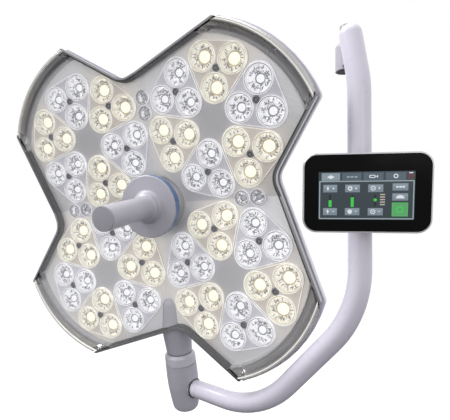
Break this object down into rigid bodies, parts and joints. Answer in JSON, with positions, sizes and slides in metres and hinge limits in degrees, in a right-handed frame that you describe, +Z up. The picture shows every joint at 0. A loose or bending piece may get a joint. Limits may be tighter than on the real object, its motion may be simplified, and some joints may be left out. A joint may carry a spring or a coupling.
{
  "type": "operating light",
  "caption": "Four-lobed LED operating light head on a C-shaped yoke tube, with tilt and turn joints, a sterile handle and a touch panel.",
  "frame": {"origin": "on the swivel spindle axis, at the shoulder under the ceiling arm socket", "axes": "+Z up along the spindle, +X towards the upright side of the yoke, the lit face looks towards -Y"},
  "size_m": [0.678, 0.2611, 0.6427],
  "materials": {
    "blue_ring": "satin blue",
    "bronze": "machined bronze",
    "brushed_grip": "brushed",
    "cast_aluminium": "as cast",
    "circuit_board": "white solder mask",
    "collar_paint": "satin grey coat",
    "cover_paint": "satin pale",
    "dark_cap": "fine moulded",
    "elbow_paint": "satin grey coat",
    "gasket": "matte black",
    "green_board": "solder mask",
    "handle": "satin autoclavable",
    "handle_cap": "satin",
    "hub": "satin",
    "led_cool": "lit",
    "led_warm": "lit",
    "lens_cool": "clear moulded",
    "lens_warm": "clear moulded",
    "nylon": "plain",
    "panel_frame": "satin",
    "panel_glass": "black printed back",
    "panel_shell": "fine moulded",
    "polished_rim": "polished",
    "reflector": "satin anodised",
    "screen": "lit display",
    "screw_dark": "blackened",
    "steel": "machined",
    "window": "clear",
    "yoke_paint": "satin off-white coat"
  },
  "bodies": {
    "spindle": {"spindle": "steel", "spindle_circlip": "steel"},
    "yoke": {"yoke_tube": "yoke_paint", "boss_barrel": "yoke_paint", "boss_bush": "bronze", "boss_cap": "dark_cap", "boss_brake_screw": "screw_dark", "tilt_axle": "steel", "tilt_nut": "steel"},
    "elbow": {"elbow_housing": "elbow_paint", "elbow_plug": "elbow_paint", "tilt_bush": "bronze", "elbow_collar": "collar_paint", "post_bush": "bronze"},
    "focus": {"handle_core": "steel"},
    "sleeve": {"handle_disc": "handle", "handle_grip": "handle", "handle_cap": "handle_cap"},
    "panel_arm": {"clamp_front": "panel_shell", "clamp_rear": "panel_shell", "clamp_liner": "nylon", "clamp_screws": "steel", "hinge_pin": "steel"},
    "panel": {"panel_back": "panel_shell", "panel_knuckle": "panel_shell", "panel_bezel": "panel_frame", "panel_glass": "panel_glass", "display": "screen", "panel_board": "green_board"},
    "head": {"back_cover": "cover_paint", "end_seals": "window", "frame_cross": "cast_aluminium", "front_window": "window", "gasket": "gasket", "grip_rail_1": "brushed_grip", "grip_rail_2": "brushed_grip", "grip_rail_3": "brushed_grip", "grip_rail_4": "brushed_grip", "heat_sinks": "cast_aluminium", "hub_ring": "blue_ring", "hub_seat": "hub", "led_boards": "circuit_board", "leds_cool": "led_cool", "leds_warm": "led_warm", "lens_cool_1": "lens_cool", "lens_cool_2": "lens_cool", "lens_cool_3": "lens_cool", "lens_cool_4": "lens_cool", "lens_warm_1": "lens_warm", "lens_warm_2": "lens_warm", "lens_warm_3": "lens_warm", "lens_warm_4": "lens_warm", "module_screws": "screw_dark", "notch_pods": "lens_cool", "post": "elbow_paint", "post_circlip": "steel", "reflector_plate": "reflector", "rim": "polished_rim"}
  },
  "joints": [
    {"name": "yoke_swivel", "type": "hinge", "parent": "spindle", "child": "yoke", "pos_m": [0, 0, 0], "axis": [0, 0, 1], "range_deg": [-165, 165]},
    {"name": "head_tilt", "type": "hinge", "parent": "yoke", "child": "elbow", "pos_m": [-0.291, -0.024, -0.558], "axis": [1, 0, 0], "range_deg": [-60, 110]},
    {"name": "head_turn", "type": "hinge", "parent": "elbow", "child": "head", "pos_m": [-0.291, -0.03129, -0.51867], "axis": [0, -0.1822, 0.9833], "range_deg": [-166, 134]},
    {"name": "focus_turn", "type": "hinge", "parent": "head", "child": "focus", "pos_m": [-0.2862, -0.10095, -0.23461], "axis": [0.2756, -0.9452, -0.1752], "range_deg": [-60, 60]},
    {"name": "sleeve_pull", "type": "slide", "parent": "focus", "child": "sleeve", "axis": [0.2756, -0.9452, -0.1752], "range_m": [0, 0.12]},
    {"name": "panel_swivel", "type": "hinge", "parent": "yoke", "child": "panel_arm", "pos_m": [0.0277, -0.024, -0.2245], "axis": [0, 0, 1], "range_deg": [-32, 45]},
    {"name": "panel_tilt", "type": "hinge", "parent": "panel_arm", "child": "panel", "pos_m": [0.04328, -0.04846, -0.2245], "axis": [0.8434, 0.5373, 0], "range_deg": [-10, 8]}
  ]
}
